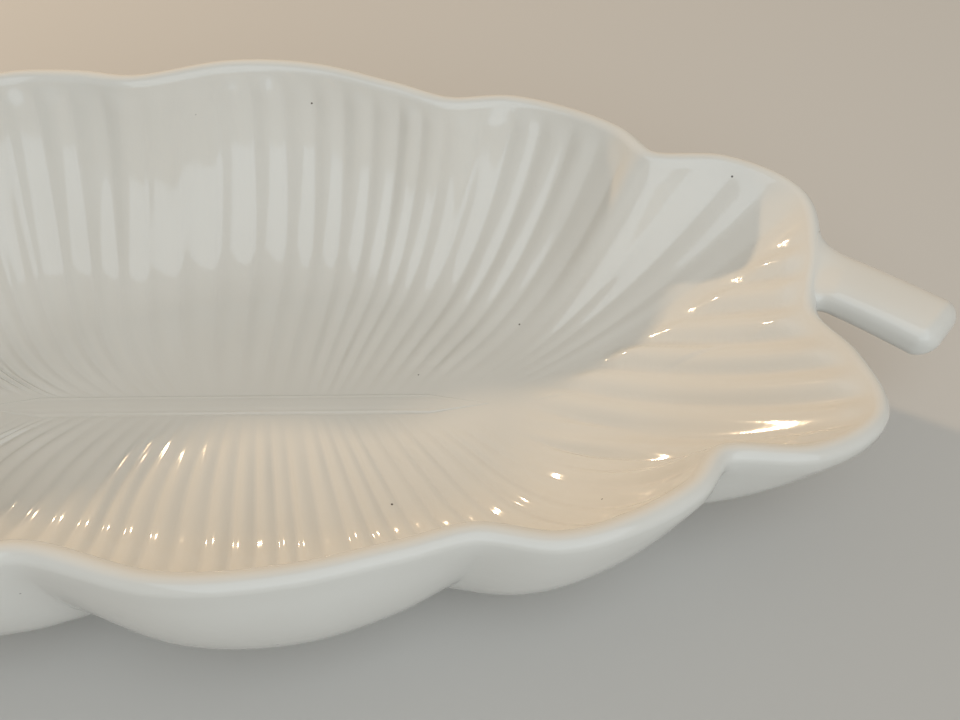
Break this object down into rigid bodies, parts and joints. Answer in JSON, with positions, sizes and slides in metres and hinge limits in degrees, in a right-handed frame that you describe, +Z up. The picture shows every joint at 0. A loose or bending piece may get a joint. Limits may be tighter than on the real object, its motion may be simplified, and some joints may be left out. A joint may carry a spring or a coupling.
{
  "type": "leaf shaped serving dish",
  "caption": "Deep leaf shaped serving dish with a scalloped rolled lip, a fluted inside, a raised midrib, a stem handle at one end and a low foot ring.",
  "frame": {"origin": "in the plane of the foot ring's resting face, under the midrib near the widest part of the leaf", "axes": "+X along the midrib towards the stem handle, +Y across the leaf, +Z up out of the open dish"},
  "size_m": [0.4245, 0.2248, 0.079],
  "materials": {
    "glaze": "gloss",
    "bisque": "matte"
  },
  "bodies": {
    "root": {"leaf_dish": "glaze", "midrib": "glaze", "stem_handle": "glaze", "foot_ring": "bisque"}
  },
  "joints": []
}
